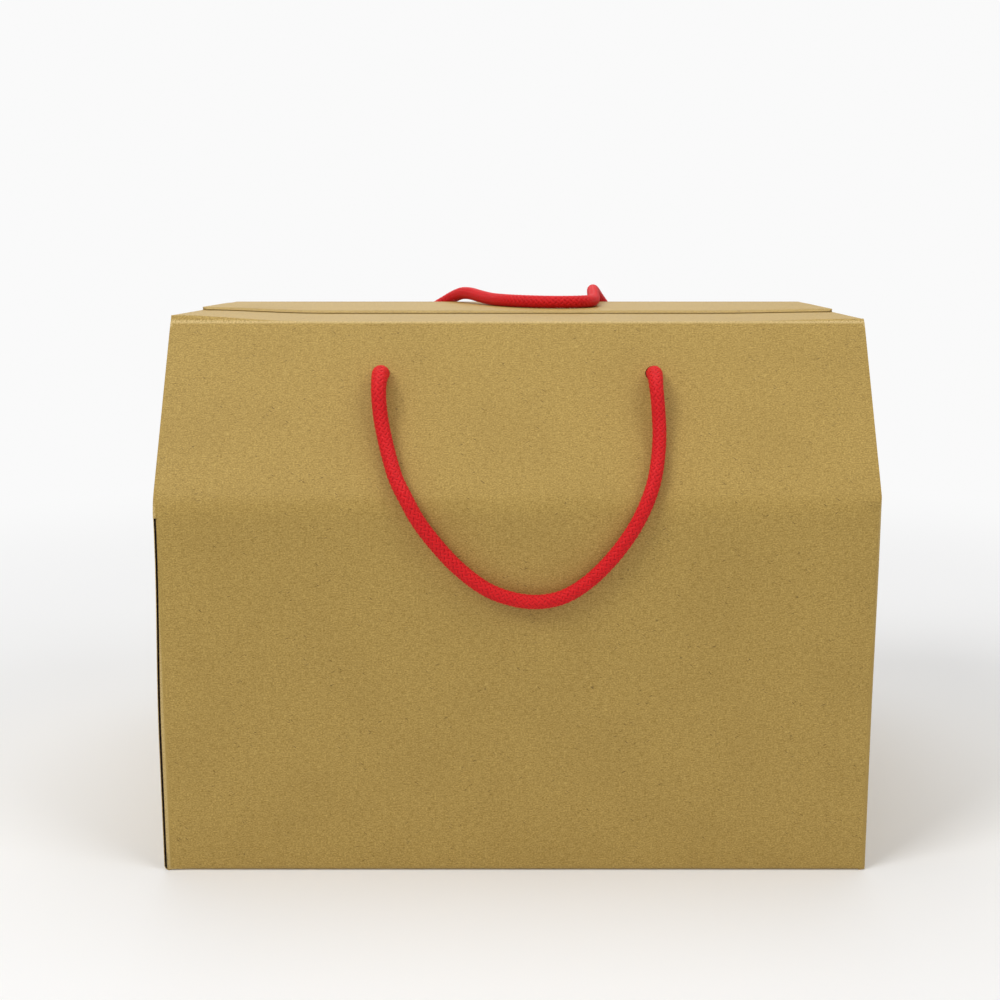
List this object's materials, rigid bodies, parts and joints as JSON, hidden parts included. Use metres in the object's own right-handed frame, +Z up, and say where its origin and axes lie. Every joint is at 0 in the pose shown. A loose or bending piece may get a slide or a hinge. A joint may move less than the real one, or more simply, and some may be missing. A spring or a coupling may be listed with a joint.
{
  "type": "gift box with handle",
  "caption": "Kraft corrugated carry box with sloped shoulders, a flat top closed by a hinged flap, and braided rope handles knotted inside.",
  "frame": {"origin": "centre of the base, on the surface that the box stands on", "axes": "+X to the box's right along its width, -Y out of its front, +Z up"},
  "size_m": [0.31, 0.2569, 0.2505],
  "materials": {
    "kraft_board": "natural brown kraft liner, matt, with fine fibres and dark specks",
    "braided_rope": "red braided polyester rope with a soft sheen"
  },
  "bodies": {
    "box": {"box_body": "kraft_board", "front_cord": "braided_rope", "rear_cord": "braided_rope", "front_left_knot": "braided_rope", "front_right_knot": "braided_rope", "rear_left_knot": "braided_rope", "rear_right_knot": "braided_rope"},
    "lid": {"lid_flap": "kraft_board"}
  },
  "joints": [
    {"name": "lid_hinge", "type": "hinge", "parent": "box", "child": "lid", "pos_m": [0, 0.0775, 0.241], "axis": [-1, 0, 0], "range_deg": [0, 200], "deforming": ["rear_cord"]}
  ]
}
